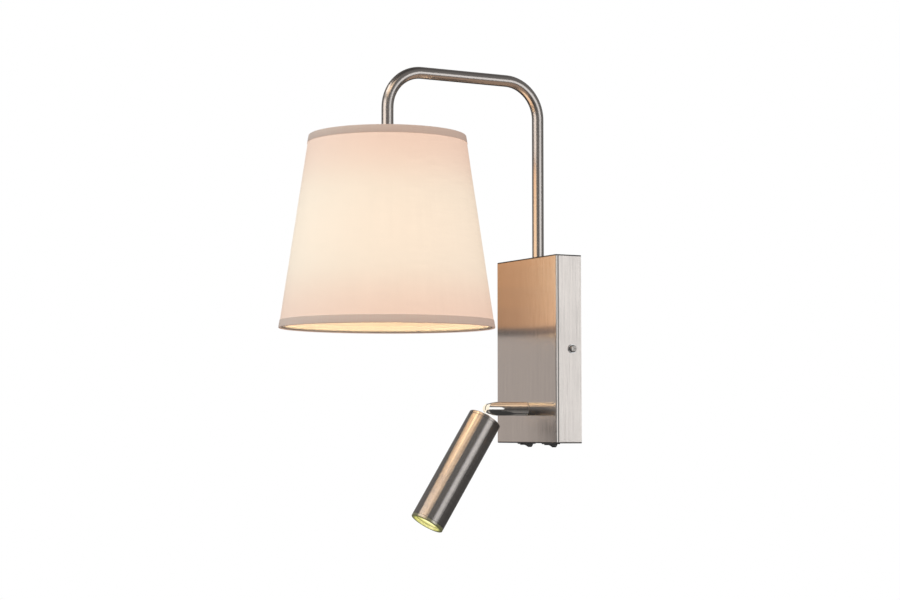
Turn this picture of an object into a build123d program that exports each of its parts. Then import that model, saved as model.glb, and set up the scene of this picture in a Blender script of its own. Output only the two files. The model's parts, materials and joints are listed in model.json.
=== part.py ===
"""Wall lamp with a fabric shade on a bent tube arm and an adjustable reading light.

Millimetres. +Z is up, the wall is the plane Y = 0 and the lamp stands out of it towards -Y.
The origin is the centre of the wall bracket's bolt pattern, on the wall.
"""

import math
import os

from build123d import *

# ---------------------------------------------------------------- driving dimensions
# housing: a folded sheet cover over a wall bracket
HOUSING_W, HOUSING_D, HOUSING_H = 120.0, 30.0, 190.0
SHEET = 1.2
COVER_BEND, COVER_RIM = 1.2, 0.9
MID_Y = -HOUSING_D / 2
TOP_Z = HOUSING_H / 2
BOTTOM_Z = -HOUSING_H / 2

BRACKET_T = 1.5
BRACKET_W = HOUSING_W - 2 * SHEET - 0.6
BRACKET_H = 150.0
BOLT_SPACING, BOLT_HOLE = 120.0, 5.0
CABLE_HOLE, CABLE_BORE = 22.0, 14.0
EAR_H, EAR_D = 30.0, 20.0
SIDE_SCREW_Y = -11.0

# arm: one tube with two bends
TUBE_OD, TUBE_ID = 12.0, 10.0
ARM_REACH, ARM_TOP_Z, ARM_BEND = 174.0, 278.0, 38.0
FRONT_Y = MID_Y - ARM_REACH
NIPPLE_OD, NIPPLE_ID = 9.9, 7.0

# shade: a truncated cone that hangs on the lamp holder
SHADE_TOP_Z, SHADE_H = 211.0, 192.0
SHADE_TOP_R, SHADE_BOTTOM_R = 77.5, 107.5
SHADE_BOTTOM_Z = SHADE_TOP_Z - SHADE_H
SKIN_T, TRIM_T, TRIM_H = 1.0, 0.5, 8.0
WIRE_D = 3.0
FITTER_Z, FITTER_T, FITTER_R, FITTER_HOLE_R = 189.5, 1.5, 29.0, 20.0

# lamp holder and bulb, from the tube's end downwards
HOLDER_TOP_Z, HOLDER_SPLIT_Z, HOLDER_END_Z = 217.0, 192.0, 160.0
BULB_TOP_Z, BULB_CAP_END_Z, BULB_WAIST_Z, BULB_TIP_Z = 180.0, 158.0, 126.0, 72.0
BULB_R, BULB_WAIST_R, BULB_CAP_R = 30.0, 26.0, 13.2

# reading light: a post on the cover's front and a tilting cylindrical head
POST_Z, POST_R, SHOULDER_Y = -60.0, 7.0, -66.0
NOSE_R, PIVOT_Y = 5.4, -71.5
SLOT_W, TAB_T, TAB_R = 4.2, 3.4, 5.0
SWIVEL_RANGE, STOP_TAB_ANGLE = 110.0, 16.0
HEAD_TILT = 32.5
HEAD_R, HEAD_WALL = 17.3, 1.5
CAP_S, TUBE_S, RING_S, HEAD_END_S = 12.0, 15.2, 132.8, 136.0
LENS_S, BOARD_S, SINK_S = 129.4, 102.2, 71.2
SEAM = 0.3

# rocker switches in the cover's bottom
SWITCH_X = 24.5
BEZEL_L, BEZEL_W, BEZEL_T = 15.6, 10.6, 1.0
SWITCH_BODY_L, SWITCH_BODY_W, SWITCH_BODY_H = 14.0, 9.2, 12.0
ROCKER_R, ROCKER_W = 6.0, 7.2
ROCKER_PIVOT_Z = BOTTOM_Z + 0.5
ROCKER_TIP_ANGLE, ROCKER_TILT = 38.0, 14.0
TRUNNION_R, TRUNNION_X, ROCKER_GAP = 0.8, 4.4, 0.3

RUNNING_GAP = 0.05


# ---------------------------------------------------------------- helpers
def block(x, y, z):
    """A box from three (low, high) ranges."""
    size = [high - low for low, high in (x, y, z)]
    centre = [(high + low) / 2 for low, high in (x, y, z)]
    return Pos(*centre) * Box(*size)


def disc(r, z_low, z_high, x=0.0, y=0.0):
    """A vertical cylinder between two heights."""
    return Pos(x, y, (z_low + z_high) / 2) * Cylinder(r, z_high - z_low)


def rod_y(r, y_low, y_high, x=0.0, z=0.0):
    """A cylinder along Y."""
    return Pos(x, (y_low + y_high) / 2, z) * Rot(90, 0, 0) * Cylinder(r, y_high - y_low)


def rod_x(r, x_low, x_high, y=0.0, z=0.0):
    """A cylinder along X."""
    return Pos((x_low + x_high) / 2, y, z) * Rot(0, 90, 0) * Cylinder(r, x_high - x_low)


def turned(points, y=0.0):
    """A solid of revolution about the vertical line at y, from (radius, height) points."""
    profile = make_face(Polyline(*[(r, 0, z) for r, z in points], close=True))
    return Pos(0, y, 0) * revolve(profile, Axis.Z)


def hexagon(across_flats, z_low, z_high):
    """A hexagonal prism between two heights."""
    outline = RegularPolygon(across_flats / 2, 6, major_radius=False)
    return Pos(0, 0, z_low) * extrude(outline, z_high - z_low)


def pipe(points, radii, r):
    """A round rod along straight runs joined by tangent arcs."""
    path = FilletPolyline(*points, radius=radii)
    start = Plane(origin=path @ 0, z_dir=path % 0)
    return sweep(start * Circle(r), path=path)


def sector_y(r_in, r_out, y_low, y_high, middle, width, z=0.0):
    """A ring segment about the Y direction; middle and width in degrees, 0 towards +X, 90 up."""
    outer = [(r_out, middle - width / 2), (r_out, middle), (r_out, middle + width / 2)]
    inner = [(r_in, middle + width / 2), (r_in, middle), (r_in, middle - width / 2)]
    at = [(r * math.cos(math.radians(a)), 0, r * math.sin(math.radians(a))) for r, a in outer + inner]
    rim = ThreePointArc(*at[:3]) + Line(at[2], at[3]) + ThreePointArc(*at[3:]) + Line(at[5], at[0])
    return Pos(0, y_low, z) * extrude(make_face(rim), y_high - y_low, dir=(0, 1, 0))


def shade_r(z):
    """The shade's outer radius at a height."""
    return SHADE_TOP_R + (SHADE_TOP_Z - z) / SHADE_H * (SHADE_BOTTOM_R - SHADE_TOP_R)


def along_y(shape, y=0.0, z=0.0):
    """Turns a part built along +Z so that it runs along -Y, and moves it."""
    return Pos(0, y, z) * Rot(90, 0, 0) * shape


# ---------------------------------------------------------------- housing
def cover():
    """A five-sided sheet box, open at the wall."""
    half_w = HOUSING_W / 2
    shell = block((-half_w, half_w), (-HOUSING_D, 0), (BOTTOM_Z, TOP_Z))
    uprights = shell.edges().filter_by(Axis.Z).group_by(Axis.Y)[0]
    shell = fillet(uprights, COVER_BEND)
    caps = [shell.faces().sort_by(Axis.Z)[end] for end in (0, -1)]
    rims = [edge for cap in caps for edge in cap.edges() if edge.center().Y < -0.1]
    shell = fillet(rims, COVER_RIM)
    inner_w = half_w - SHEET
    shell -= block((-inner_w, inner_w), (-HOUSING_D + SHEET, 1), (BOTTOM_Z + SHEET, TOP_Z - SHEET))
    shell -= disc(5.1, TOP_Z - 2, TOP_Z + 1, y=MID_Y)
    shell -= rod_y(6.5, -HOUSING_D - 1, -HOUSING_D + 2, z=POST_Z)
    shell -= rod_x(2.3, -half_w - 1, half_w + 1, y=SIDE_SCREW_Y)
    for x in (-SWITCH_X, SWITCH_X):
        slot_x = (x - SWITCH_BODY_W / 2 - 0.1, x + SWITCH_BODY_W / 2 + 0.1)
        slot_y = (MID_Y - SWITCH_BODY_L / 2 - 0.1, MID_Y + SWITCH_BODY_L / 2 + 0.1)
        shell -= block(slot_x, slot_y, (BOTTOM_Z - 1, BOTTOM_Z + 2))
    return shell


def wall_bracket():
    """The plate that is screwed to the wall, with two ears for the cover's screws."""
    half = BRACKET_W / 2
    plate = block((-half, half), (-BRACKET_T, 0), (-BRACKET_H / 2, BRACKET_H / 2))
    plate = fillet(plate.edges().filter_by(Axis.Y), 4)
    for side in (-1, 1):
        ear_x = sorted((side * half, side * (half - BRACKET_T)))
        plate += block(ear_x, (-EAR_D, 0), (-EAR_H / 2, EAR_H / 2))
    plate -= rod_x(2.0, -half - 1, half + 1, y=SIDE_SCREW_Y)
    plate -= rod_y(CABLE_HOLE / 2, -3, 1)
    for z in (-BOLT_SPACING / 2, BOLT_SPACING / 2):
        plate -= rod_y(BOLT_HOLE / 2, -3, 1, z=z)
    return plate


def cable_grommet():
    """A rubber ring round the supply cable, flush with the wall."""
    flange = rod_y(13, -3.5, -BRACKET_T)
    body = rod_y(CABLE_HOLE / 2, -BRACKET_T, 0)
    return flange + body - rod_y(CABLE_BORE / 2, -4, 1)


def cover_screws():
    """A pan-head screw with a cross recess on each side."""
    screws = []
    for side in (-1, 1):
        head = disc(3.6, 0.8, 3.4)
        head = fillet(head.edges().sort_by(Axis.Z)[-1], 1.2)
        head += disc(1.98, -5.2, 0.8)
        for across in ((0.45, 2.2), (2.2, 0.45)):
            head -= block((-across[0], across[0]), (-across[1], across[1]), (1.9, 4))
        place = Pos(side * HOUSING_W / 2, SIDE_SCREW_Y, 0) * Rot(0, side * 90, 0)
        screws.append(place * head)
    return screws


def cover_screw_washers():
    """The washers under the two cover screws."""
    washers = []
    for side in (-1, 1):
        span = sorted((side * HOUSING_W / 2, side * (HOUSING_W / 2 + 0.8)))
        ring = rod_x(4.5, *span, y=SIDE_SCREW_Y) - rod_x(2.1, *span, y=SIDE_SCREW_Y)
        washers.append(ring)
    return washers


# ---------------------------------------------------------------- inside the housing
def led_driver():
    """The reading light's constant-current driver."""
    case = block((-53.5, -25.5), (-22.5, -BRACKET_T), (-35, 35))
    case = fillet(case.edges().filter_by(Axis.Z), 2)
    for z in (-35, 35):
        case -= block((-44, -35), (-16, -8), (z - 1.2, z + 1.2))
    return case


TERMINAL_X, TERMINAL_PITCH, TERMINAL_TOP_Y = 39.0, 11.0, -17.5
TERMINAL_Z = [22.0 + TERMINAL_PITCH * n for n in range(3)]


def terminal_block():
    """A three-pole block for the supply wires."""
    low, high = TERMINAL_Z[0] - 5.5, TERMINAL_Z[-1] + 5.5
    body = block((TERMINAL_X - 11, TERMINAL_X + 11), (-9, -BRACKET_T), (low, high))
    for z in TERMINAL_Z:
        body += block((TERMINAL_X - 9, TERMINAL_X + 9), (TERMINAL_TOP_Y, -9), (z - 4, z + 4))
        body -= rod_x(1.8, TERMINAL_X - 12, TERMINAL_X + 12, y=-11, z=z)
        for x in (-5, 5):
            body -= rod_y(1.9, -18, -11, x=TERMINAL_X + x, z=z)
    return body


def terminal_screws():
    """The six clamping screws of the terminal block."""
    screws = []
    for z in TERMINAL_Z:
        for x in (-5, 5):
            screw = rod_y(1.8, -16.5, -13.5, x=TERMINAL_X + x, z=z)
            blade = (TERMINAL_X + x - 0.3, TERMINAL_X + x + 0.3)
            screws.append(screw - block(blade, (-17, -15.6), (z - 2, z + 2)))
    return screws


EARTH_X, EARTH_Z = 36.0, -30.0


def earth_stud():
    """A welded stud on the bracket with its nut."""
    stud = rod_y(1.95, -12, -BRACKET_T, x=EARTH_X, z=EARTH_Z)
    nut = along_y(hexagon(7, 0, 3) - disc(1.96, -1, 4), y=-6, z=EARTH_Z)
    return [stud, Pos(EARTH_X, 0, 0) * nut]


def earth_lead():
    """The earth wire from the stud up to the terminal block, with its ring tag."""
    tag = rod_y(4, -5.9, -5.2, x=EARTH_X, z=EARTH_Z) - rod_y(2.1, -7, -4, x=EARTH_X, z=EARTH_Z)
    end_x = TERMINAL_X + 12.5
    route = [(EARTH_X + 3.2, -4.6, EARTH_Z), (end_x, -4.6, EARTH_Z), (end_x, -4.6, 10)]
    return tag + pipe(route, [8], 0.95)


def lamp_lead():
    """The lamp holder's lead, from the terminal block through the arm to the holder."""
    start_z = TERMINAL_Z[-1] + 5.6
    route = [
        (TERMINAL_X, -12, start_z),
        (TERMINAL_X, -12, 70),
        (0, MID_Y, 70),
        (0, MID_Y, ARM_TOP_Z),
        (0, FRONT_Y, ARM_TOP_Z),
        (0, FRONT_Y, 204),
    ]
    return pipe(route, [12, 12, ARM_BEND, ARM_BEND], 2.6)


def led_lead():
    """The reading light's lead from the driver to the back of the post."""
    route = [(-39.5, -12, -35.2), (-39.5, -12, POST_Z), (0, -12, POST_Z), (0, -16.4, POST_Z)]
    return pipe(route, [14, 4], 1.5)


def switch_leads():
    """A pair of wires from each switch up towards the driver and the terminal block."""
    left, right = (-SWITCH_X, -48.0), (SWITCH_X, 50.0)
    wires = []
    for x, far_x in (left, right):
        for y in (-19.0, -11.0):
            route = [(x, y, BOTTOM_Z + 20.3), (x, y, -64), (far_x, y, -64), (far_x, y, -44)]
            wires.append(pipe(route, [6, 6], 0.9))
    return wires


# ---------------------------------------------------------------- arm
def arm_nipple():
    """The threaded tube that holds the arm on the cover."""
    return disc(NIPPLE_OD / 2, 82, 112, y=MID_Y) - disc(NIPPLE_ID / 2, 81, 113, y=MID_Y)


def arm_washer():
    """The lock washer under the cover's top."""
    low, high = TOP_Z - SHEET - 1, TOP_Z - SHEET
    return disc(8, low, high, y=MID_Y) - disc(5.1, low - 1, high + 1, y=MID_Y)


def arm_nut():
    """The nut that clamps the arm."""
    high = TOP_Z - SHEET - 1
    return Pos(0, MID_Y, 0) * (hexagon(14, high - 4, high) - disc(NIPPLE_OD / 2, 80, 96))


def arm_tube():
    """The bent tube from the housing to the lamp holder."""
    route = [
        (0, MID_Y, TOP_Z),
        (0, MID_Y, ARM_TOP_Z),
        (0, FRONT_Y, ARM_TOP_Z),
        (0, FRONT_Y, HOLDER_TOP_Z),
    ]
    bends = [ARM_BEND, ARM_BEND]
    return pipe(route, bends, TUBE_OD / 2) - pipe(route, bends, TUBE_ID / 2)


def arm_tip_nipple():
    """The threaded tube that joins the arm to the lamp holder."""
    return disc(NIPPLE_OD / 2, 205, 232, y=FRONT_Y) - disc(NIPPLE_ID / 2, 204, 233, y=FRONT_Y)


# ---------------------------------------------------------------- lamp holder and bulb
def holder_cap():
    """The holder's dome, which takes the arm's nipple."""
    outer = [(5, 217), (8.5, 217), (11, 215.5), (16, 206), (19, 197), (19, 192)]
    inner = [(17, 192), (17, 196.5), (14.3, 205), (9.8, 213), (5, 213)]
    return turned(outer + inner, FRONT_Y)


def holder_skirt():
    """The threaded skirt, with the flange that the shade's fitter bears on."""
    return turned(
        [(19, 192), (23, 192), (23, FITTER_Z), (19.7, FITTER_Z), (19.7, 160), (16.5, 160), (16.5, 190), (19, 190)],
        FRONT_Y,
    )


def shade_ring():
    """The ribbed ring that clamps the shade's fitter."""
    low, high = 179.0, FITTER_Z - FITTER_T
    ring = disc(26, low, high) - disc(19.75, low - 1, high + 1)
    ring += disc(27.5, high - 2, high) - disc(20.5, low, high + 1)
    for n in range(24):
        ring += Rot(0, 0, 15 * n) * block((25.5, 26.9), (-1.2, 1.2), (low + 0.6, high - 2))
    return Pos(0, FRONT_Y, 0) * ring


def holder_insert():
    """The insulating core that carries the contacts."""
    core = disc(16.3, 182.2, 190, y=FRONT_Y) - disc(3, 181, 191, y=FRONT_Y)
    for x in (-9.5, 9.5):
        core -= disc(2, 186, 191, x=x, y=FRONT_Y)
    return core


def thread_shell():
    """The brass shell that the bulb screws into, with its rolled thread."""
    points = [(14.9, 182.2), (14.9, 163)]
    for n in range(5):
        z = 163 + 3.6 * n
        points += [(14.0, z), (13.7, z + 0.9), (14.0, z + 1.8), (14.3, z + 2.7)]
    return turned(points + [(14.0, 182.2)], FRONT_Y)


def holder_contact():
    """The spring tongue behind the bulb's tip."""
    return Pos(0, FRONT_Y, 0) * block((-2.5, 2.5), (-9, 4), (181.4, 182.0))


def bulb_cap():
    """The bulb's screw cap, with a rolled thread and an end contact."""
    points = [(0, 180.9), (3.5, 180.9), (5, BULB_TOP_Z), (8.5, 178.6), (12.4, 177.4)]
    for n in range(4):
        z = 176.4 - 3.6 * n
        points += [(12.6, z), (BULB_CAP_R, z - 0.9), (13.0, z - 1.8), (12.4, z - 2.7)]
    return turned(points + [(12.6, BULB_CAP_END_Z), (0, BULB_CAP_END_Z)], FRONT_Y)


def bulb_base():
    """The moulded body between the cap and the envelope."""
    upper = (13.6, BULB_CAP_END_Z)
    lower = (BULB_WAIST_R, BULB_WAIST_Z)
    flare = Spline((upper[0], 0, upper[1]), (lower[0], 0, lower[1]), tangents=((0.15, 0, -1), (0.3, 0, -1)))
    rest = Polyline((lower[0], 0, lower[1]), (0, 0, lower[1]), (0, 0, upper[1]), (upper[0], 0, upper[1]))
    return Pos(0, FRONT_Y, 0) * revolve(make_face(flare + rest), Axis.Z)


def bulb_envelope():
    """The frosted globe, a thin shell below the moulded body."""
    centre_z = BULB_TIP_Z + BULB_R
    globe = Pos(0, FRONT_Y, centre_z) * (Sphere(BULB_R) - Sphere(BULB_R - 1.2))
    top_r = math.sqrt(BULB_R**2 - (BULB_WAIST_Z - 8 - centre_z) ** 2)
    globe &= disc(BULB_R + 1, BULB_TIP_Z - 1, BULB_WAIST_Z - 8, y=FRONT_Y)
    z = BULB_WAIST_Z - 8
    neck = [(top_r, z), (BULB_WAIST_R, BULB_WAIST_Z), (BULB_WAIST_R - 1.2, BULB_WAIST_Z), (top_r - 1.5, z)]
    return globe + turned(neck, FRONT_Y)


# ---------------------------------------------------------------- shade
def shade_skin():
    """The fabric laminated on film, a thin cone."""
    low, high = SHADE_BOTTOM_Z + TRIM_T, SHADE_TOP_Z - TRIM_T
    out_low, out_high = shade_r(low) - TRIM_T, shade_r(high) - TRIM_T
    return turned([(out_low, low), (out_high, high), (out_high - SKIN_T, high), (out_low - SKIN_T, low)], FRONT_Y)


def trim(edge_z, inward):
    """The tape over one edge of the shade; inward is -1 at the top edge and 1 at the bottom."""
    skin_end = edge_z + inward * TRIM_T
    tape_end = edge_z + inward * TRIM_H
    return turned(
        [
            (shade_r(edge_z), edge_z),
            (shade_r(tape_end), tape_end),
            (shade_r(tape_end) - TRIM_T, tape_end),
            (shade_r(skin_end) - TRIM_T, skin_end),
            (shade_r(skin_end) - TRIM_T - SKIN_T, skin_end),
            (shade_r(edge_z) - TRIM_T - SKIN_T, edge_z),
        ],
        FRONT_Y,
    )


def wire_ring(r, z):
    """A closed ring of round wire."""
    return Pos(0, FRONT_Y, z) * Torus(r, WIRE_D / 2)


TOP_RING_Z = SHADE_TOP_Z - TRIM_T - WIRE_D / 2 - 0.3
TOP_RING_R = shade_r(TOP_RING_Z) - TRIM_T - SKIN_T - WIRE_D / 2 - 0.15
BOTTOM_RING_Z = SHADE_BOTTOM_Z + TRIM_T + WIRE_D / 2 + 0.3
BOTTOM_RING_R = shade_r(SHADE_BOTTOM_Z) - TRIM_T - SKIN_T - WIRE_D / 2 - 0.6


def shade_fitter():
    """The plate that the shade ring clamps."""
    plate = disc(FITTER_R, FITTER_Z - FITTER_T, FITTER_Z)
    return Pos(0, FRONT_Y, 0) * (plate - disc(FITTER_HOLE_R, FITTER_Z - 3, FITTER_Z + 1))


def shade_arms():
    """Three wires welded to the fitter plate and the top ring."""
    welded_to = shade_fitter() + wire_ring(TOP_RING_R, TOP_RING_Z)
    line = Line((FITTER_R - 3, 0, FITTER_Z + 0.6), (TOP_RING_R, 0, TOP_RING_Z))
    wire = sweep(Plane(origin=line @ 0, z_dir=line % 0) * Circle(WIRE_D / 2), path=line)
    return [Pos(0, FRONT_Y, 0) * Rot(0, 0, angle) * wire - welded_to for angle in (90, 210, 330)]


# ---------------------------------------------------------------- reading light's post
STOP_WASHER_Y = (-24.0, -23.0)


def post_bush():
    """The flanged bush that the post turns in, with the lug that stops the swivel at each end."""
    flange = rod_y(9, -HOUSING_D + SHEET, -HOUSING_D + SHEET + 1.8, z=POST_Z)
    sleeve = rod_y(6.5, -HOUSING_D + RUNNING_GAP, STOP_WASHER_Y[0], z=POST_Z)
    lug_width = 360 - 2 * SWIVEL_RANGE - STOP_TAB_ANGLE - 3
    lug = sector_y(8.0, 11.0, -HOUSING_D + SHEET, STOP_WASHER_Y[1] + 0.3, 90, lug_width, z=POST_Z)
    return flange + sleeve + lug - rod_y(5 + RUNNING_GAP, -31, -20, z=POST_Z)


def post():
    """The polished post: a threaded shank and a round body whose slotted end narrows to a round nose."""
    base_y = -HOUSING_D - 0.5
    outline = Polyline(
        (base_y, POST_R), (SHOULDER_Y, POST_R), (PIVOT_Y, NOSE_R),
        (PIVOT_Y, -NOSE_R), (SHOULDER_Y, -POST_R), (base_y, -POST_R), close=True,
    )
    side = make_face(outline)
    side = fillet(side.vertices().group_by(Axis.X)[1], 6)
    side += Pos(PIVOT_Y, 0) * Circle(NOSE_R)
    body = Pos(0, 0, POST_Z) * extrude(Plane.YZ * side, POST_R + 1, both=True)
    body &= rod_y(POST_R, PIVOT_Y - NOSE_R - 1, base_y, z=POST_Z)
    body += rod_y(5, base_y - 1, -16.6, z=POST_Z)
    slot = (PIVOT_Y - NOSE_R - 1, PIVOT_Y + TAB_R + 0.4)
    body -= block((-SLOT_W / 2, SLOT_W / 2), slot, (POST_Z - 9, POST_Z + 9))
    body -= rod_x(1.6, -8, 5.0, y=PIVOT_Y, z=POST_Z)
    body -= rod_x(2.7, -8, -4.9, y=PIVOT_Y, z=POST_Z)
    return body - rod_y(1.8, slot[1] - 1, -16, z=POST_Z)


def post_washer():
    """The nylon washer that the post turns on."""
    return rod_y(6.8, -HOUSING_D - 0.5, -HOUSING_D, z=POST_Z) - rod_y(5.05, -31, -29, z=POST_Z)


def post_stop_washer():
    """The keyed washer whose tab meets the bush's lug."""
    ring = rod_y(7.5, *STOP_WASHER_Y, z=POST_Z) - rod_y(5.02, -25, -22, z=POST_Z)
    return ring + sector_y(7.0, 10.6, *STOP_WASHER_Y, 270, STOP_TAB_ANGLE, z=POST_Z)


def post_spring_washer():
    """The spring washer that gives the post its friction."""
    return rod_y(7.5, STOP_WASHER_Y[1], -22.2, z=POST_Z) - rod_y(5.05, -25, -21, z=POST_Z)


def post_nut():
    """The nut that keeps the post in its bush."""
    return along_y(hexagon(14, 0, 4.5) - disc(5.02, -1, 6), y=-17.7, z=POST_Z)


def post_lead():
    """The reading light's lead inside the post."""
    return rod_y(1.5, PIVOT_Y + TAB_R + 0.6, -17, z=POST_Z)


def pivot_screw():
    """The screw that the head tilts on, its head sunk in the far cheek."""
    head = rod_x(2.6, -6.2, -4.9)
    head -= block((-6.3, -5.6), (-3, 3), (-0.35, 0.35))
    return Pos(0, PIVOT_Y, POST_Z) * (head + rod_x(1.5, -4.9, 4.8))


def friction_washers():
    """The washers between the post's cheeks and the head's tab."""
    washers = []
    for side in (-1, 1):
        span = sorted((side * TAB_T / 2, side * SLOT_W / 2))
        ring = rod_x(4, *span) - rod_x(1.52, *span)
        washers.append(Pos(0, PIVOT_Y, POST_Z) * ring)
    return washers


# ---------------------------------------------------------------- reading light's head
def in_head(shape):
    """Places a head part, built hanging straight down from the pivot, at its rest tilt."""
    return Pos(0, PIVOT_Y, POST_Z) * Rot(-HEAD_TILT, 0, 0) * shape


def head_stem():
    """The tab on the pivot, a neck and a threaded shank through the head's cap."""
    tab = rod_x(TAB_R, -TAB_T / 2, TAB_T / 2)
    tab += block((-TAB_T / 2, TAB_T / 2), (-3.6, 3.6), (-8.4, 0))
    neck = disc(4.2, -CAP_S, -8.0)
    tab += chamfer(neck.edges().sort_by(Axis.Z)[-1], 0.5)
    tab += disc(3.0, -CAP_S - 13.2, -CAP_S)
    tab -= rod_x(1.5 + RUNNING_GAP, -4, 4)
    return tab - disc(1.6, -CAP_S - 14, -8.8)


def head_cap():
    """The turned cap that closes the head's top."""
    cap = disc(HEAD_R, -TUBE_S, -CAP_S)
    cap = chamfer(cap.edges().sort_by(Axis.Z)[-1], 0.6)
    cap = chamfer(cap.edges().sort_by(Axis.Z)[0], SEAM)
    cap += disc(HEAD_R - HEAD_WALL - 0.05, -TUBE_S - 4, -TUBE_S)
    return cap - disc(3.05, -30, 0)


def stem_nut():
    """The nut inside the cap."""
    top = -TUBE_S - 4
    return hexagon(10, top - 4, top) - disc(3.0, top - 5, top + 1)


def head_tube():
    """The head's brushed cylinder."""
    tube = disc(HEAD_R, -RING_S, -TUBE_S)
    tube = chamfer(tube.edges().sort_by(Axis.Z)[-1], SEAM)
    return tube - disc(HEAD_R - HEAD_WALL, -RING_S - 1, 0)


def front_ring():
    """The screwed ring that holds the lens."""
    lip = disc(HEAD_R, -HEAD_END_S, -RING_S)
    lip = chamfer(lip.edges().sort_by(Axis.Z)[0], 0.4)
    lip = chamfer(lip.edges().sort_by(Axis.Z)[-1], SEAM)
    ring = lip + disc(HEAD_R - HEAD_WALL - 0.05, -RING_S, -RING_S + 5)
    ring -= disc(14.3, -RING_S + 0.1, -RING_S + 6)
    return ring - disc(13.4, -HEAD_END_S - 1, -RING_S + 1)


def lens():
    """The reading light's clear lens, flat outside and domed inside."""
    plate = disc(14.2, -RING_S + 0.2, -LENS_S)
    dome = Pos(0, 0, -LENS_S - 28) * Sphere(30) & disc(11.5, -LENS_S - 1, 0)
    return plate + dome


def reflector():
    """The conical cup between the board and the lens."""
    low, high = -LENS_S + 2.3, -BOARD_S - 2.8
    return turned([(13.9, low), (14.1, low), (6, high), (5.2, high), (13.2, low)])


def led_board():
    """The metal-core board on the heat sink."""
    return disc(14, -BOARD_S - 1.6, -BOARD_S)


def led_chip():
    """The light-emitting package."""
    chip = block((-2.5, 2.5), (-2.5, 2.5), (-BOARD_S - 2.3, -BOARD_S - 1.6))
    return chip + disc(1.9, -BOARD_S - 2.7, -BOARD_S - 2.3)


def heat_sink():
    """The finned aluminium core."""
    sink = disc(15.3, -BOARD_S, -SINK_S) - disc(3, -BOARD_S - 1, 0)
    for n in range(16):
        sink -= Rot(0, 0, 22.5 * n) * block((8.5, 16), (-0.9, 0.9), (-BOARD_S + 3, 0))
    return sink


def head_lead():
    """The lead from the stem down to the board."""
    return disc(1.4, -BOARD_S + 0.1, -9.2)


# ---------------------------------------------------------------- rocker switches
def switch_housings():
    """The two snap-in switch bodies with their bezels."""
    bodies = []
    opening_l, opening_w = 2 * (ROCKER_R + ROCKER_GAP), ROCKER_W + 2 * ROCKER_GAP
    for x in (-SWITCH_X, SWITCH_X):
        bezel = Box(BEZEL_W, BEZEL_L, BEZEL_T, align=(Align.CENTER, Align.CENTER, Align.MAX))
        bezel = chamfer(bezel.faces().sort_by(Axis.Z)[0].edges(), 0.4)
        body = Box(SWITCH_BODY_W, SWITCH_BODY_L, SWITCH_BODY_H, align=(Align.CENTER, Align.CENTER, Align.MIN))
        body += bezel
        body -= block((-opening_w / 2, opening_w / 2), (-opening_l / 2, opening_l / 2), (-2, 8.5))
        body -= rod_x(TRUNNION_R + RUNNING_GAP, -6, 6, z=ROCKER_PIVOT_Z - BOTTOM_Z)
        bodies.append(Pos(x, MID_Y, BOTTOM_Z) * body)
    return bodies


def switch_terminals():
    """Two blades on the back of each switch."""
    blades = []
    for x in (-SWITCH_X, SWITCH_X):
        for y in (-4, 4):
            low = BOTTOM_Z + SWITCH_BODY_H
            blades.append(block((x - 0.4, x + 0.4), (MID_Y + y - 2.4, MID_Y + y + 2.4), (low, low + 8)))
    return blades


def rocker(x):
    """A rocker: a round-ended see-saw with a concave face, its wall-side tip down."""
    tip_y = ROCKER_R * math.cos(math.radians(ROCKER_TIP_ANGLE))
    tip_z = -ROCKER_R * math.sin(math.radians(ROCKER_TIP_ANGLE))
    face = ThreePointArc((0, tip_y, tip_z), (0, 0, tip_z + 1.1), (0, -tip_y, tip_z))
    shoulder = math.radians(14)
    shoulder_y, shoulder_z = ROCKER_R * math.cos(shoulder), ROCKER_R * math.sin(shoulder)
    front = ThreePointArc((0, -tip_y, tip_z), (0, -ROCKER_R, 0), (0, -shoulder_y, shoulder_z))
    top = Line((0, -shoulder_y, shoulder_z), (0, shoulder_y, shoulder_z))
    back = ThreePointArc((0, shoulder_y, shoulder_z), (0, ROCKER_R, 0), (0, tip_y, tip_z))
    paddle = extrude(make_face(face + front + top + back), ROCKER_W / 2, dir=(1, 0, 0), both=True)
    paddle += rod_x(TRUNNION_R, -TRUNNION_X, TRUNNION_X)
    return Pos(x, MID_Y, ROCKER_PIVOT_Z) * Rot(-ROCKER_TILT, 0, 0) * paddle


# ---------------------------------------------------------------- output
def as_shape(result):
    """One shape from a part or a list of separate solids."""
    if isinstance(result, (list, tuple)):
        return Compound(children=[s for part in result for s in part.solids()])
    return result


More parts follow.
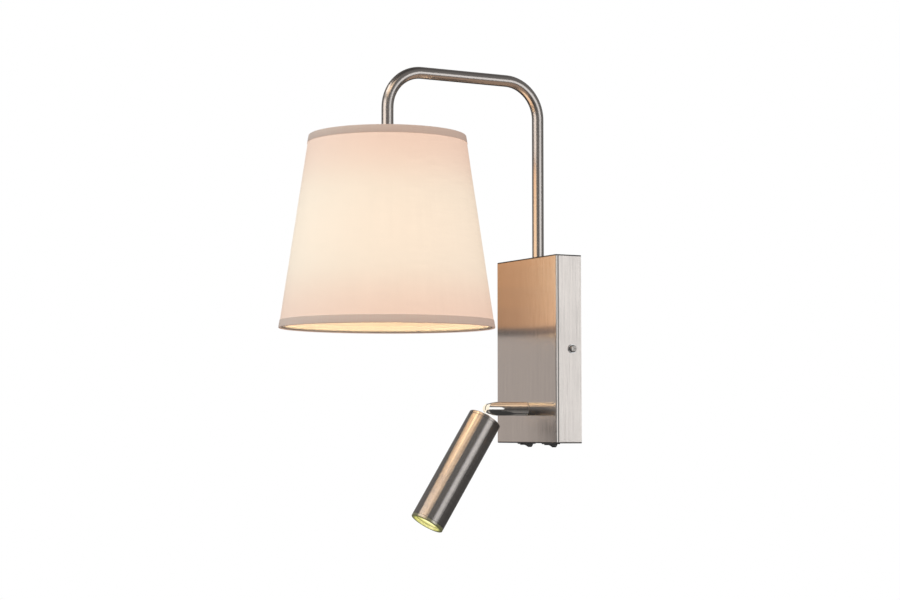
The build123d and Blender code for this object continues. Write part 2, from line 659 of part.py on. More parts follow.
def main():
    nodes = {
        "cover": cover(),
        "wall_bracket": wall_bracket(),
        "cable_grommet": cable_grommet(),
        "cover_screws": cover_screws(),
        "cover_screw_washers": cover_screw_washers(),
        "led_driver": led_driver(),
        "terminal_block": terminal_block(),
        "terminal_screws": terminal_screws(),
        "earth_stud": earth_stud(),
        "earth_lead": earth_lead(),
        "lamp_lead": lamp_lead(),
        "led_lead": led_lead(),
        "switch_leads": switch_leads(),
        "arm_nipple": arm_nipple(),
        "arm_washer": arm_washer(),
        "arm_nut": arm_nut(),
        "arm_tube": arm_tube(),
        "arm_tip_nipple": arm_tip_nipple(),
        "holder_cap": holder_cap(),
        "holder_skirt": holder_skirt(),
        "holder_insert": holder_insert(),
        "holder_contact": holder_contact(),
        "thread_shell": thread_shell(),
        "shade_ring": shade_ring(),
        "bulb_cap": bulb_cap(),
        "bulb_base": bulb_base(),
        "bulb_envelope": bulb_envelope(),
        "shade_skin": shade_skin(),
        "shade_top_trim": trim(SHADE_TOP_Z, -1),
        "shade_bottom_trim": trim(SHADE_BOTTOM_Z, 1),
        "shade_fitter": shade_fitter(),
        "shade_arms": shade_arms(),
        "shade_top_ring": wire_ring(TOP_RING_R, TOP_RING_Z),
        "shade_bottom_ring": wire_ring(BOTTOM_RING_R, BOTTOM_RING_Z),
        "post_bush": post_bush(),
        "post": post(),
        "post_washer": post_washer(),
        "post_stop_washer": post_stop_washer(),
        "post_spring_washer": post_spring_washer(),
        "post_nut": post_nut(),
        "post_lead": post_lead(),
        "pivot_screw": pivot_screw(),
        "friction_washers": friction_washers(),
        "head_stem": in_head(head_stem()),
        "head_cap": in_head(head_cap()),
        "stem_nut": in_head(stem_nut()),
        "head_tube": in_head(head_tube()),
        "front_ring": in_head(front_ring()),
        "lens": in_head(lens()),
        "reflector": in_head(reflector()),
        "led_board": in_head(led_board()),
        "led_chip": in_head(led_chip()),
        "heat_sink": in_head(heat_sink()),
        "head_lead": in_head(head_lead()),
        "switch_housings": switch_housings(),
        "switch_terminals": switch_terminals(),
        "rocker_left": rocker(-SWITCH_X),
        "rocker_right": rocker(SWITCH_X),
    }
    os.makedirs("parts", exist_ok=True)
    for name, result in nodes.items():
        export_step(as_shape(result), f"parts/{name}.step")


main()
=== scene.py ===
"""Looks of the wall lamp: a lit fabric shade on a bent tube arm, and a reading light on a post."""
import json
import math

import bmesh
import bpy
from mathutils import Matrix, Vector, noise


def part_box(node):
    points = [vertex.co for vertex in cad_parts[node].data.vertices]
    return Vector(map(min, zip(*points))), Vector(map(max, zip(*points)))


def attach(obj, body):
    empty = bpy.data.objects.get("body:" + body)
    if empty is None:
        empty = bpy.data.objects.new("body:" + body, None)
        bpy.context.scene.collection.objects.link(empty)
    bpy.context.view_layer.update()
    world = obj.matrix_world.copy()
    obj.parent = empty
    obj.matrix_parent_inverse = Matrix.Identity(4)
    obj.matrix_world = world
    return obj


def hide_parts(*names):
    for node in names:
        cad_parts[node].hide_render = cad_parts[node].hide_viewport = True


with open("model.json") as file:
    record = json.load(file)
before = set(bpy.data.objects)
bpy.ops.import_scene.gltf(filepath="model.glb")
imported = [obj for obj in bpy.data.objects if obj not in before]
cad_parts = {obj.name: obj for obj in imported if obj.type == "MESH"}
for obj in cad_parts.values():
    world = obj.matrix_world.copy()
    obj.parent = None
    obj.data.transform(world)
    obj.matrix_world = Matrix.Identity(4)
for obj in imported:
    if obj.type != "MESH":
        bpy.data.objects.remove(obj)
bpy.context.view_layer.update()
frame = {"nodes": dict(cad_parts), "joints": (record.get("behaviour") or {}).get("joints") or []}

MM = 0.001


# ---------------------------------------------------------------- places, from the frame
def centre(node):
    low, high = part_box(node)
    return (low + high) / 2


JOINTS = {joint["name"]: joint for joint in frame["joints"]}
PIVOT = Vector(JOINTS["head_tilt"]["pos_m"])
COVER_LOW, COVER_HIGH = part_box("cover")
BOTTOM_TRIM_LOW, BOTTOM_TRIM_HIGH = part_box("shade_bottom_trim")
TOP_TRIM_LOW, TOP_TRIM_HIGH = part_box("shade_top_trim")
SHADE_AXIS = centre("shade_bottom_trim")
SHADE_LOW_Z, SHADE_HIGH_Z = BOTTOM_TRIM_LOW.z, TOP_TRIM_HIGH.z
SHADE_H = SHADE_HIGH_Z - SHADE_LOW_Z
BOTTOM_R = (BOTTOM_TRIM_HIGH.x - BOTTOM_TRIM_LOW.x) / 2
TOP_R = (TOP_TRIM_HIGH.x - TOP_TRIM_LOW.x) / 2
TRIM_H = BOTTOM_TRIM_HIGH.z - BOTTOM_TRIM_LOW.z
BULB = centre("bulb_envelope")

# the reading light; its axis runs from the pivot to the front ring
HEAD_AXIS = (centre("front_ring") - PIVOT).normalized()
HEAD_TILT = math.atan2(-HEAD_AXIS.y, -HEAD_AXIS.z)
LENS = centre("lens")
LENS_R, RING_R, RING_LENGTH = 13.5 * MM, 16 * MM, 3.2 * MM
RING_FRONT = centre("front_ring") + HEAD_AXIS * RING_LENGTH / 2

# shade build: fabric outside, film inside, folded tape over each edge
FABRIC_T, FILM_T, TAPE_T = 0.35 * MM, 0.45 * MM, 0.45 * MM
THREAD = 0.62 * MM


# ---------------------------------------------------------------- node helpers
class Nodes:
    """Adds shader nodes to one tree in a few words."""

    def __init__(self, tree):
        self.tree = tree

    def add(self, kind, **settings):
        node = self.tree.nodes.new(kind)
        for name, value in settings.items():
            setattr(node, name, value)
        return node

    def set(self, node, inputs):
        for name, value in inputs.items():
            socket = node.inputs[name]
            if isinstance(value, bpy.types.NodeSocket):
                self.tree.links.new(value, socket)
            else:
                socket.default_value = value
        return node

    def math(self, operation, *values):
        node = self.add("ShaderNodeMath", operation=operation)
        self.set(node, dict(enumerate(values)))
        return node.outputs[0]

    def vector(self, operation, *values):
        node = self.add("ShaderNodeVectorMath", operation=operation)
        self.set(node, dict(enumerate(values)))
        scalar = operation in ("DOT_PRODUCT", "LENGTH", "DISTANCE")
        return node.outputs["Value" if scalar else "Vector"]

    def place(self):
        """The point shaded, in the piece's own coordinates."""
        return self.add("ShaderNodeTexCoord").outputs["Object"]

    def split(self, vector):
        node = self.set(self.add("ShaderNodeSeparateXYZ"), {0: vector})
        return node.outputs["X"], node.outputs["Y"], node.outputs["Z"]

    def join(self, x, y, z):
        return self.set(self.add("ShaderNodeCombineXYZ"), {0: x, 1: y, 2: z}).outputs[0]

    def mapped(self, vector, scale=(1, 1, 1), turn=(0, 0, 0), origin=(0, 0, 0)):
        """The vector seen from an origin, turned back by turn and then multiplied by scale."""
        node = self.add("ShaderNodeMapping", vector_type="TEXTURE")
        self.set(node, {"Vector": vector, "Location": origin, "Rotation": turn})
        node.inputs["Scale"].default_value = [1 / s for s in scale]
        return node.outputs[0]

    def noise(self, vector, scale, detail, rough):
        node = self.add("ShaderNodeTexNoise")
        self.set(node, {"Vector": vector, "Scale": scale, "Detail": detail, "Roughness": rough})
        return node.outputs["Fac"]

    def ramp(self, factor, low, high, out_low, out_high):
        """A smooth step from out_low to out_high while the factor goes from low to high."""
        node = self.add("ShaderNodeMapRange", interpolation_type="SMOOTHSTEP")
        self.set(node, {0: factor, 1: low, 2: high, 3: out_low, 4: out_high})
        return node.outputs[0]

    def mix(self, factor, a, b):
        node = self.add("ShaderNodeMix", data_type="RGBA")
        self.set(node, {0: factor, 6: a, 7: b})
        return node.outputs[2]

    def bump(self, height, strength, distance, normal=None):
        node = self.add("ShaderNodeBump")
        self.set(node, {"Height": height, "Strength": strength, "Distance": distance})
        if normal is not None:
            self.set(node, {"Normal": normal})
        return node.outputs[0]


def colour(r, g, b, share=1.0):
    """A colour as the sockets take it, scaled by share."""
    return (r * share, g * share, b * share, 1.0)


def material(name):
    """A new material, its node helper and its Principled shader."""
    made = bpy.data.materials.new(name)
    made.use_nodes = True
    nodes = Nodes(made.node_tree)
    return made, nodes, made.node_tree.nodes["Principled BSDF"]


# ---------------------------------------------------------------- metals
NICKEL = (0.61, 0.575, 0.55)
FLAT_GRAIN, RING_GRAIN = (3200, 3200, 18), (18, 18, 3200)
LEAN = 0.8

# the cover's painted shade lines: inside its rims, and just behind where its front bends back
RIM_SHADE_LINE = (0.9 * MM, 1.7 * MM)
BEND_BEHIND, BEND_SHADE_LINE = 2.8 * MM, (0.5 * MM, 1.1 * MM)


def brushed(name, stretch, rough, turn=(0, 0, 0), origin=(0, 0, 0), along=None):
    """Brushed nickel. stretch is the fineness of its lines per metre. They tilt the surface to
    both sides, along a fixed direction or, where none is given, level across the surface."""
    made, n, shader = material(name)
    place = n.mapped(n.place(), (1, 1, 1), turn, origin)
    fine = n.noise(n.vector("MULTIPLY", place, stretch), 1.0, 3, 0.6)
    broad = n.noise(n.vector("MULTIPLY", place, [s * 0.3 for s in stretch]), 1.0, 2, 0.5)
    worn = n.noise(n.place(), 22, 4, 0.6)
    normal = n.add("ShaderNodeNewGeometry").outputs["Normal"]
    tangent = n.join(*along) if along else n.vector("CROSS_PRODUCT", normal, (0, 0, 1))
    scaled = n.add("ShaderNodeVectorMath", operation="SCALE")
    tilt = n.math("MULTIPLY", n.math("SUBTRACT", fine, 0.5), LEAN)
    n.set(scaled, {"Vector": tangent, "Scale": tilt})
    grain = n.math("ADD", n.math("MULTIPLY", fine, 0.6), n.math("MULTIPLY", broad, 0.4))
    tone = n.ramp(grain, 0.3, 0.7, 0.0, 1.0)
    n.set(shader, {
        "Base Color": n.mix(tone, colour(*NICKEL, 0.93), colour(*NICKEL, 1.05)),
        "Metallic": 1.0,
        "Roughness": n.math("ADD", n.math("MULTIPLY", worn, 0.05), rough - 0.025),
        "Anisotropic": 1.0,
        "Normal": n.vector("NORMALIZE", n.vector("ADD", normal, scaled.outputs["Vector"])),
        "Tangent": tangent,
    })
    return made, n, shader


def brushed_cover(name):
    """The cover's nickel, brushed up and down, with painted shade on its upright faces: a dark line
    just inside the top and bottom rims, and a fainter one just behind where the front bends back."""
    made, n, shader = brushed(name, FLAT_GRAIN, 0.22)
    _, depth, height = n.split(n.place())
    above, below = n.math("SUBTRACT", height, COVER_LOW.z), n.math("SUBTRACT", COVER_HIGH.z, height)
    # painted shade: dark just inside the top and bottom rims and just behind the front's bend, upright
    # faces only
    rim_shade = n.ramp(n.math("MINIMUM", above, below), *RIM_SHADE_LINE, 1.0, 0.0)
    behind = n.math("SUBTRACT", depth, COVER_LOW.y)
    from_bend = n.math("ABSOLUTE", n.math("SUBTRACT", behind, BEND_BEHIND))
    painted_shade = n.math("MAXIMUM", rim_shade, n.ramp(from_bend, *BEND_SHADE_LINE, 0.8, 0.0))
    facing_up = n.split(n.add("ShaderNodeNewGeometry").outputs["Normal"])[2]
    upright = n.ramp(n.math("ABSOLUTE", facing_up), 0.93, 0.99, 1.0, 0.0)
    metal = shader.inputs["Base Color"].links[0].from_socket
    shaded_metal = n.mix(n.math("MULTIPLY", painted_shade, upright), metal, colour(*NICKEL, 0.10))
    n.set(shader, {"Base Color": shaded_metal})
    return made


def brushed_head(name):
    """The reading light's nickel, brushed round its axis."""
    return brushed(name, RING_GRAIN, 0.25, (-HEAD_TILT, 0, 0), PIVOT, HEAD_AXIS)


def lit_ring(name):
    """The head's brushed nickel; its front edge round the lens has a painted glow of the reading light."""
    made, n, shader = brushed_head(name)
    out = n.vector("SUBTRACT", n.place(), tuple(RING_FRONT))
    past = n.vector("DOT_PRODUCT", out, tuple(HEAD_AXIS))
    radius = n.vector("LENGTH", n.vector("CROSS_PRODUCT", out, tuple(HEAD_AXIS)))
    # painted glow of the reading light on the ring's front edge, strongest beside the lens
    front = n.ramp(past, -0.6 * MM, -0.15 * MM, 0.0, 0.8)
    n.set(shader, {
        "Emission Color": colour(0.36, 0.37, 0.10),
        "Emission Strength": n.math("MULTIPLY", front, n.ramp(radius, LENS_R, RING_R, 1.0, 0.25)),
    })
    return made


def satin(name, rough):
    """Satin nickel, evenly blasted."""
    made, n, shader = material(name)
    worn = n.noise(n.place(), 30, 4, 0.6)
    n.set(shader, {
        "Base Color": n.mix(worn, colour(*NICKEL, 0.95), colour(*NICKEL, 1.04)),
        "Metallic": 1.0,
        "Roughness": n.math("ADD", n.math("MULTIPLY", worn, 0.05), rough - 0.025),
    })
    return made


def polished(name, base):
    """A mirror-like plated metal with faint wipe marks."""
    made, n, shader = material(name)
    smear = n.noise(n.place(), 160, 4, 0.6)
    scratch = n.noise(n.mapped(n.place(), (900, 40, 900)), 1.0, 2, 0.5)
    n.set(shader, {
        "Base Color": n.mix(smear, colour(*base, 0.95), colour(*base)),
        "Metallic": 1.0,
        "Roughness": n.math("MULTIPLY_ADD", smear, 0.04, 0.05),
        "Normal": n.bump(scratch, 0.08, 0.01 * MM),
    })
    return made


def plain_metal(name, base, rough, scale=500.0):
    """Plated or turned metal on the small parts."""
    made, n, shader = material(name)
    grit = n.noise(n.place(), scale, 4, 0.6)
    n.set(shader, {
        "Base Color": n.mix(grit, colour(*base, 0.8), colour(*base)),
        "Metallic": 1.0,
        "Roughness": n.math("ADD", n.math("MULTIPLY", grit, 0.15), rough - 0.07),
        "Normal": n.bump(grit, 0.2, 0.02 * MM),
    })
    return made


# ---------------------------------------------------------------- plastics
def moulded(name, base, rough, speckle=0.04):
    """Moulded plastic, or a powder coat, with a fine texture and faintly darker patches."""
    made, n, shader = material(name)
    texture = n.noise(n.place(), 1800, 2, 0.5)
    patch = n.noise(n.place(), 45, 3, 0.5)
    n.set(shader, {
        "Base Color": n.mix(patch, colour(*base, 1 - 2 * speckle), colour(*base)),
        "Roughness": n.math("ADD", n.math("MULTIPLY", patch, 0.12), rough - 0.06),
        "Normal": n.bump(texture, 0.15, 0.02 * MM),
    })
    return made


def rubber(name):
    """Soft black rubber, a little dusty."""
    made, n, shader = material(name)
    dust = n.noise(n.place(), 300, 4, 0.6)
    n.set(shader, {
        "Base Color": n.mix(dust, colour(0.015, 0.015, 0.015), colour(0.04, 0.04, 0.04)),
        "Roughness": n.math("ADD", n.math("MULTIPLY", dust, 0.2), 0.6),
        "Normal": n.bump(dust, 0.2, 0.05 * MM),
    })
    return made


# ---------------------------------------------------------------- the shade's cloth
def weave(n):
    """(thread height, warp value, weft value) of a plain weave round the shade's axis."""
    x, y, z = n.split(n.vector("SUBTRACT", n.place(), (SHADE_AXIS.x, SHADE_AXIS.y, 0)))
    turn = n.math("ARCTAN2", y, x)
    threads = round(2 * math.pi * (TOP_R + BOTTOM_R) / 2 / THREAD)
    along_weft = n.join(n.math("MULTIPLY", turn, 3.0), 0.0, n.math("MULTIPLY", z, 900))
    along_warp = n.join(n.math("MULTIPLY", turn, 90.0), 0.0, n.math("MULTIPLY", z, 12))
    weft = n.noise(along_weft, 1.0, 2, 0.6)
    warp = n.noise(along_warp, 1.0, 2, 0.6)
    across = n.math("MULTIPLY", turn, threads / 2)
    up = n.math("ADD", n.math("MULTIPLY", z, math.pi / THREAD), n.math("MULTIPLY", weft, 1.2))
    over = n.math("MULTIPLY", n.math("SINE", across), n.math("SINE", up))
    return n.math("MULTIPLY_ADD", over, 0.5, 0.5), warp, weft


def direct_light(n):
    """The bulb's direct light on the cloth for its painted glow: strongest beside it, fading to the edges.
    """
    far = n.vector("LENGTH", n.vector("SUBTRACT", n.place(), tuple(BULB)))
    return n.math("POWER", n.math("DIVIDE", BOTTOM_R * 0.9, far), 3.0)


def cloth(name, warm, cool, strength):
    """Fine off-white plain weave, with the bulb's light through it painted as a glow, warm in colour
    beside the bulb and cool away from it."""
    made, n, shader = material(name)
    height, warp, weft = weave(n)
    thread = n.math("ADD", n.math("MULTIPLY", warp, 0.5), n.math("MULTIPLY", weft, 0.5))
    direct = direct_light(n)
    glow = n.math("MULTIPLY_ADD", direct, 0.2, 0.8)
    shown = n.math("MULTIPLY", glow, n.ramp(thread, 0.3, 0.7, 0.935, 1.055))
    near = n.ramp(direct, 0.36, 0.95, 0.0, 1.0)
    n.set(shader, {
        "Base Color": n.mix(thread, colour(0.74, 0.71, 0.68), colour(0.84, 0.81, 0.78)),
        "Roughness": 0.85,
        "Sheen Weight": 0.25,
        "Sheen Roughness": 0.4,
        "Specular IOR Level": 0.2,
        "Normal": n.bump(height, 0.35, 0.08 * MM, n.bump(thread, 0.3, 0.15 * MM)),
        "Emission Color": n.mix(near, colour(*cool), colour(*warm)),
        "Emission Strength": n.math("MULTIPLY", shown, strength),
    })
    return made


def film(name):
    """The smooth inside of the laminate, with the bulb's light on it painted as a glow."""
    made, n, shader = material(name)
    patch = n.noise(n.place(), 30, 3, 0.5)
    n.set(shader, {
        "Base Color": n.mix(patch, colour(0.86, 0.82, 0.74), colour(0.92, 0.88, 0.80)),
        "Roughness": 0.45,
        "Normal": n.bump(n.noise(n.place(), 400, 2, 0.5), 0.1, 0.02 * MM),
        "Emission Color": colour(1.0, 0.68, 0.48),
        "Emission Strength": n.math("MULTIPLY_ADD", direct_light(n), 0.2, 0.2),
    })
    return made


# ---------------------------------------------------------------- light sources
def opal(name):
    """The bulb's frosted envelope, evenly lit."""
    made, n, shader = material(name)
    grain = n.noise(n.place(), 900, 2, 0.5)
    n.set(shader, {
        "Base Color": colour(0.95, 0.93, 0.88),
        "Roughness": 0.35,
        "Normal": n.bump(grain, 0.1, 0.02 * MM),
        "Emission Color": colour(1.0, 0.74, 0.42),
        "Emission Strength": n.math("MULTIPLY_ADD", grain, 0.4, 5.0),
    })
    return made


def lens_glass(name):
    """The reading light's lens, glowing with the lit reflector, brightest at its middle."""
    made, n, shader = material(name)
    off_axis = n.vector("CROSS_PRODUCT", n.vector("SUBTRACT", n.place(), tuple(LENS)), tuple(HEAD_AXIS))
    away = n.vector("LENGTH", off_axis)
    middle = n.ramp(away, 1.0 * MM, LENS_R, 1.0, 0.0)
    n.set(shader, {
        "Base Color": colour(0.90, 0.88, 0.70),
        "Roughness": 0.12,
        "Transmission Weight": 0.2,
        "IOR": 1.49,
        "Emission Color": n.mix(middle, colour(0.60, 0.60, 0.20), colour(1.0, 0.94, 0.60)),
        "Emission Strength": n.math("MULTIPLY_ADD", middle, 0.5, 0.6),
    })
    return made


def glowing(name, base, light, strength):
    """A lit part of the reading light's source."""
    made, n, shader = material(name)
    patch = n.noise(n.place(), 600, 2, 0.5)
    n.set(shader, {
        "Base Color": n.mix(patch, colour(*base, 0.9), colour(*base)),
        "Roughness": 0.4,
        "Emission Color": colour(*light),
        "Emission Strength": strength,
    })
    return made


# ---------------------------------------------------------------- materials of the CAD nodes
brushed_flat = brushed_cover("brushed_nickel_flat")
satin_tube = satin("satin_nickel_tube", 0.25)
turned_head = brushed_head("brushed_nickel_head")[0]
chrome = polished("polished_chrome", (0.83, 0.82, 0.80))
zinc = plain_metal("zinc_plate", (0.62, 0.63, 0.64), 0.32)
screw_nickel = plain_metal("screw_nickel", (0.42, 0.40, 0.38), 0.22)
brass = plain_metal("brass", (0.72, 0.55, 0.28), 0.35)
aluminium = plain_metal("turned_aluminium", (0.75, 0.76, 0.77), 0.3, 900)
mirror_coat = plain_metal("metallised", (0.9, 0.9, 0.88), 0.12)
thermoplastic = moulded("white_thermoplastic", (0.85, 0.83, 0.78), 0.35)
wire_coat = moulded("white_powder_coat", (0.88, 0.87, 0.84), 0.4, 0.02)
nylon = moulded("nylon", (0.80, 0.80, 0.77), 0.5)
driver_case = moulded("driver_case", (0.85, 0.85, 0.83), 0.55)
sheath = moulded("white_sheath", (0.82, 0.81, 0.77), 0.5)
earth_sheath = moulded("earth_sheath", (0.22, 0.45, 0.08), 0.5)
gloss_black = moulded("gloss_black", (0.012, 0.012, 0.013), 0.22, 0.1)
black_rubber = rubber("black_rubber")

FINISHES = {
    brushed_flat: ["cover"],
    satin_tube: ["arm_tube"],
    turned_head: ["head_cap", "head_tube"],
    lit_ring("brushed_nickel_ring"): ["front_ring"],
    chrome: ["post", "head_stem", "bulb_cap"],
    zinc: [
        "wall_bracket", "cover_screw_washers", "arm_nipple", "arm_washer", "arm_nut", "arm_tip_nipple",
        "post_stop_washer", "post_spring_washer", "post_nut", "pivot_screw", "stem_nut",
    ],
    screw_nickel: ["cover_screws"],
    brass: [
        "terminal_screws", "earth_stud", "holder_contact", "thread_shell", "post_bush", "switch_terminals",
    ],
    aluminium: ["heat_sink"],
    mirror_coat: ["reflector"],
    thermoplastic: ["holder_cap", "holder_skirt", "holder_insert", "shade_ring", "bulb_base"],
    wire_coat: ["shade_fitter", "shade_arms", "shade_top_ring", "shade_bottom_ring"],
    nylon: ["terminal_block", "post_washer", "friction_washers"],
    driver_case: ["led_driver"],
    sheath: ["lamp_lead", "led_lead", "switch_leads", "post_lead", "head_lead"],
    earth_sheath: ["earth_lead"],
    gloss_black: ["switch_housings", "rocker_left", "rocker_right"],
    black_rubber: ["cable_grommet"],
    opal("opal_envelope"): ["bulb_envelope"],
    lens_glass("lens_glass"): ["lens"],
    # the board's glow is painted light from the chip; the chip is the lamp
    glowing("board_white", (0.9, 0.9, 0.86), (0.95, 1.0, 0.55), 0.5): ["led_board"],
    glowing("led_phosphor", (0.93, 0.80, 0.22), (1.0, 0.95, 0.45), 12.0): ["led_chip"],
}

for finish, names in FINISHES.items():
    for name in names:
        node = frame["nodes"][name]
        node.data.materials.clear()
        node.data.materials.append(finish)


# ---------------------------------------------------------------- the shade's pieces
STEPS = 256
SKIN_RIPPLE, TAPE_RIPPLE = 0.12 * MM, 0.1 * MM
RIPPLES_ROUND, RIPPLES_UP = 9, 60
# colours and strengths of the painted glow of the bulb's light through the cloth and the tape
WARM, COOL, CLOTH_GLOW = (1.0, 0.80, 0.60), (1.0, 0.64, 0.46), 0.712
TAPE_WARM, TAPE_COOL, TAPE_GLOW = (1.0, 0.70, 0.50), (1.0, 0.60, 0.42), 0.3472


def shade_r(z):
    """The shade's outer radius at a height."""
    return TOP_R + (SHADE_HIGH_Z - z) / SHADE_H * (BOTTOM_R - TOP_R)


def lathe(name, profile, ripple):
    """A closed ring swept round the shade's axis from (radius, height) points in a loop, with
    its radius uneven by up to ripple."""
    mesh = bmesh.new()
    rings = []
    for step in range(STEPS):
        angle = 2 * math.pi * step / STEPS
        out = Vector((math.cos(angle), math.sin(angle), 0))
        ring = []
        for r, z in profile:
            bend = ripple * noise.noise(out * RIPPLES_ROUND + Vector((0, 0, z * RIPPLES_UP)))
            ring.append(mesh.verts.new(Vector((SHADE_AXIS.x, SHADE_AXIS.y, z)) + out * (r + bend)))
        rings.append(ring)
    for ring, following in zip(rings, rings[1:] + rings[:1]):
        for i in range(len(profile)):
            j = (i + 1) % len(profile)
            mesh.faces.new((ring[i], following[i], following[j], ring[j]))
    bmesh.ops.recalc_face_normals(mesh, faces=mesh.faces)
    data = bpy.data.meshes.new(name)
    mesh.to_mesh(data)
    mesh.free()
    piece = bpy.data.objects.new(name, data)
    bpy.context.scene.collection.objects.link(piece)
    for face in data.polygons:
        face.use_smooth = True
    return piece


def layer(outside, thickness, low, high, rows=24):
    """A thin cone's profile; outside is how far its face lies inside the shade's outer radius."""
    heights = [low + (high - low) * i / rows for i in range(rows + 1)]
    out = [(shade_r(z) - outside, z) for z in heights]
    return out + [(r - thickness, z) for r, z in reversed(out)]


def tape(edge_z, inward):
    """The tape's profile: down the outside, round the edge in a soft fold, and back up inside.
    inward is 1 where the shade lies above the edge and -1 where it lies below."""
    turns = 10
    chamfer_in, chamfer_along, shorter_inside = 0.15 * MM, 0.2 * MM, 1.0 * MM
    inner = TAPE_T * 2 + FABRIC_T + FILM_T
    middle = inner / 2
    end = edge_z + inward * TRIM_H
    fold_r, fold_z = shade_r(edge_z) - middle, edge_z + inward * middle

    def fold(radius):
        """The fold's points from the outside to the inside, at a radius round its middle."""
        angles = [math.pi * i / turns for i in range(turns + 1)]
        return [(fold_r + radius * math.cos(a), fold_z - inward * radius * math.sin(a)) for a in angles]

    outside = [(shade_r(end) - chamfer_in, end), (shade_r(end), end - inward * chamfer_along)]
    tail_r, tail_z = shade_r(end) - inner, end - inward * shorter_inside
    back = [(tail_r, tail_z), (tail_r + TAPE_T, tail_z)]
    under = fold(middle - TAPE_T)[::-1]
    return outside + fold(middle) + back + under + [(shade_r(end) - TAPE_T, end)]


def finish_with(piece, finish):
    """Gives a piece its material, and lets it ride with the housing."""
    piece.data.materials.append(finish)
    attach(piece, "housing")


# the laminate stops just short of the tape's fold at both edges
skin_low, skin_high = SHADE_LOW_Z + TAPE_T * 1.2, SHADE_HIGH_Z - TAPE_T * 1.2
fabric = lathe("shade_fabric", layer(TAPE_T, FABRIC_T, skin_low, skin_high), SKIN_RIPPLE)
liner = lathe("shade_film", layer(TAPE_T + FABRIC_T, FILM_T, skin_low, skin_high), SKIN_RIPPLE)
top_tape = lathe("shade_tape_top", tape(SHADE_HIGH_Z, -1), TAPE_RIPPLE)
bottom_tape = lathe("shade_tape_bottom", tape(SHADE_LOW_Z, 1), TAPE_RIPPLE)

finish_with(fabric, cloth("shade_cloth", WARM, COOL, CLOTH_GLOW))
finish_with(liner, film("shade_film"))
tape_cloth = cloth("tape_cloth", TAPE_WARM, TAPE_COOL, TAPE_GLOW)
finish_with(top_tape, tape_cloth)
finish_with(bottom_tape, tape_cloth)
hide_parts("shade_skin")
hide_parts("shade_top_trim")
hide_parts("shade_bottom_trim")


# ---------------------------------------------------------------- smooth shading of the CAD nodes
SHARP_EDGE = math.radians(32)

for node in frame["nodes"].values():
    for face in node.data.polygons:
        face.use_smooth = True
    if not node.hide_render:
        node.modifiers.new("edges", "EDGE_SPLIT").split_angle = SHARP_EDGE


# ---------------------------------------------------------------- studio
EYE = Vector((1.7463, -1.0468, -0.0820))
VIEW_AZIMUTH, VIEW_PITCH = math.radians(62.0), math.radians(3.8)
SENSOR_WIDTH, FOCAL_LENGTH = 36.0, 78.55
FLOOR_R, FLOOR_Z = 2.2, -1.5
LAMP_MIDDLE = (0, -0.1, 0.05)

# the room's level is lowest at the floor, full from just over eye level and less again overhead;
# the heights are those of a direction one unit long
ROOM_TINT, FLOOR_LEVEL, WALL_LEVEL, OVERHEAD_SHARE = (1.0, 0.97, 0.95), 0.05, 0.20, 0.35
FLOOR_TO_WALL, WALL_TO_OVERHEAD = (-0.6, 0.2), (0.75, 0.98)

# the shade's own light, as panels just off the cloth
GLOW_PANELS, GLOW, GLOW_TINT, GLOW_GAP = 16, 0.52, (1.0, 0.57, 0.24), 1.5 * MM

# cards that show in the cover's front: a plain one below, and above it warm ones that brighten upwards
CARD_AWAY, CARD_WIDTH = 0.22, 0.60
PLAIN_CARD, PLAIN_LEVEL, PLAIN_TINT = (-0.118, 0.0254), 0.35, (1.0, 0.88, 0.80)
WARM_CARDS, WARM_CARD_LOW, WARM_CARD_HEIGHT = 4, 0.0343, 0.0237
WARM_LEVEL, WARM_RISE, WARM_TINT = 0.36, 0.055, (1.0, 0.41, 0.08)


def soft_light(name, place, size, strength, tint=(1, 1, 1), aim=LAMP_MIDDLE):
    """A rectangular softbox, unseen by the camera; strength is its radiance."""
    light = bpy.data.lights.new(name, "AREA")
    light.shape = "RECTANGLE"
    light.size, light.size_y = size
    light.energy = strength * 4 * size[0] * size[1]
    light.color = tint
    lamp = bpy.data.objects.new(name, light)
    bpy.context.scene.collection.objects.link(lamp)
    lamp.location = place
    lamp.rotation_euler = (Vector(aim) - Vector(place)).to_track_quat("-Z", "Y").to_euler()
    lamp.visible_camera = False
    return lamp


def shade_glow():
    """The shade's warm light on the metal: a ring of panels just off the cloth, leant with it."""
    low, high = SHADE_LOW_Z + TRIM_H, SHADE_HIGH_Z - TRIM_H
    middle = (low + high) / 2
    slope = math.atan2(BOTTOM_R - TOP_R, SHADE_H)
    size = (2 * shade_r(middle) * math.tan(math.pi / GLOW_PANELS), (high - low) / math.cos(slope))
    for step in range(GLOW_PANELS):
        angle = 2 * math.pi * step / GLOW_PANELS
        out = Vector((math.cos(angle), math.sin(angle), 0))
        place = Vector((SHADE_AXIS.x, SHADE_AXIS.y, middle)) + out * (shade_r(middle) + GLOW_GAP)
        panel = soft_light(f"shade_glow_{step}", place, size, GLOW, GLOW_TINT)
        facing = out * math.cos(slope) + Vector((0, 0, math.sin(slope)))
        panel.rotation_euler = facing.to_track_quat("-Z", "Y").to_euler()


def group(name, nodes):
    """A collection of nodes and pieces, for a light to fall on."""
    made = bpy.data.collections.new(name)
    for node in nodes:
        made.objects.link(frame["nodes"].get(node) or bpy.data.objects[node])
    return made


def only_for(receivers, lamp):
    """Lets a light fall on one collection alone."""
    lamp.light_linking.receiver_collection = receivers


def cover_card(name, low, high, strength, tint):
    """A card between two heights, square to the way the cover's front mirrors the camera's view."""
    middle = Vector((0, COVER_LOW.y, (low + high) / 2))
    mirrored = Vector((-math.sin(VIEW_AZIMUTH), -math.cos(VIEW_AZIMUTH), 0))
    size = (CARD_WIDTH, high - low)
    return soft_light(name, middle + mirrored * CARD_AWAY, size, strength, tint, middle)


